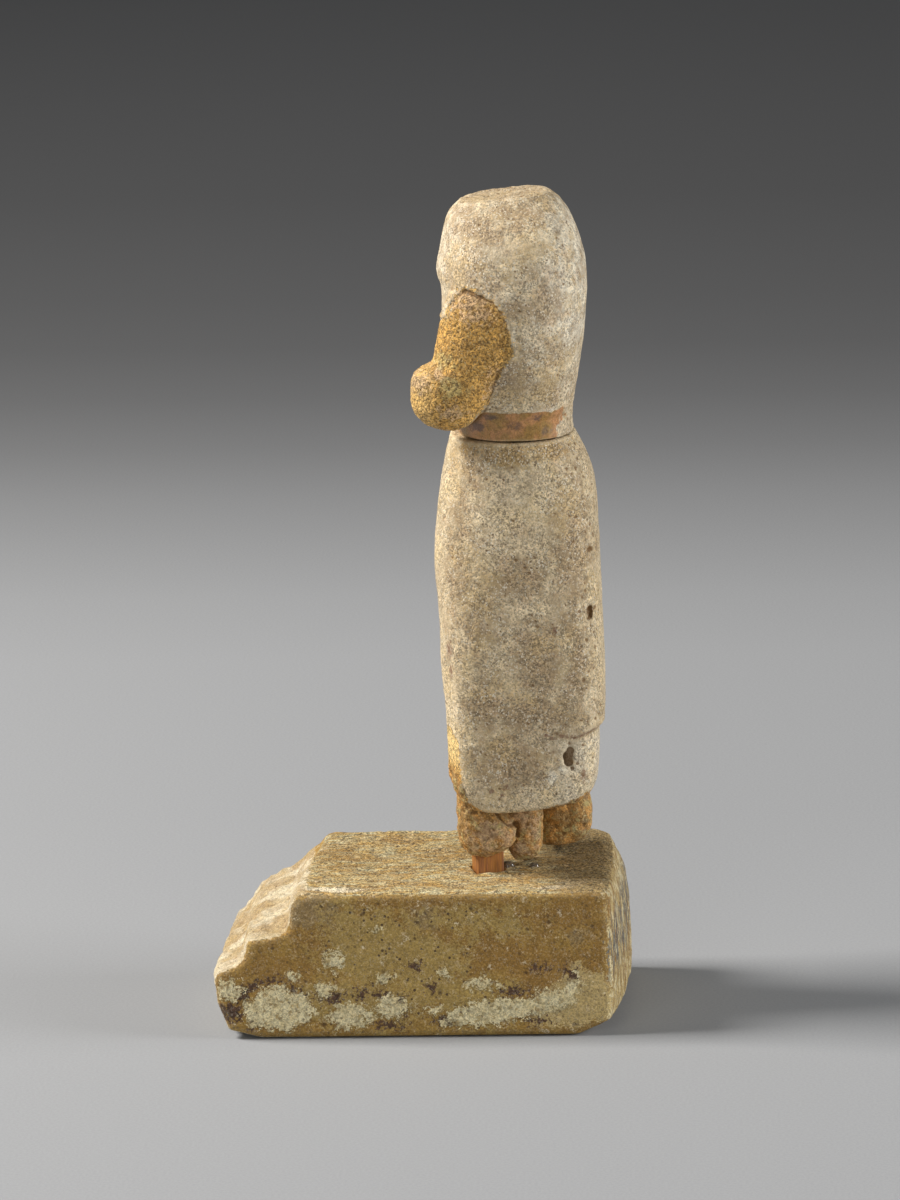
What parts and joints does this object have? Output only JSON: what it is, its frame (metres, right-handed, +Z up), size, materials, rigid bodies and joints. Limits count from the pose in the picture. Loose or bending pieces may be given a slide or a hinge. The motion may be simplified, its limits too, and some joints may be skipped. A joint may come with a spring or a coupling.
{
  "type": "male statuette on plinth",
  "caption": "Small ancient male figure in a long skirt, headless and footless, mended at the waist and pinned by a wooden dowel to its broken block plinth.",
  "frame": {"origin": "middle of the bounding box on the underside of the plinth", "axes": "+Z up; the figure faces -Y, so its left side faces +X"},
  "size_m": [0.049, 0.0831, 0.1668],
  "materials": {
    "plinth_stone": "brown granular stone with pale crust patches and dark stains, matt",
    "dowel_wood": "plain reddish brown softwood, sawn",
    "figure_stone": "pale speckled weathered crust, worn through to an ochre brown core"
  },
  "bodies": {
    "root": {"plinth": "plinth_stone", "dowel": "dowel_wood", "skirt_and_legs": "figure_stone", "torso": "figure_stone"}
  },
  "joints": []
}
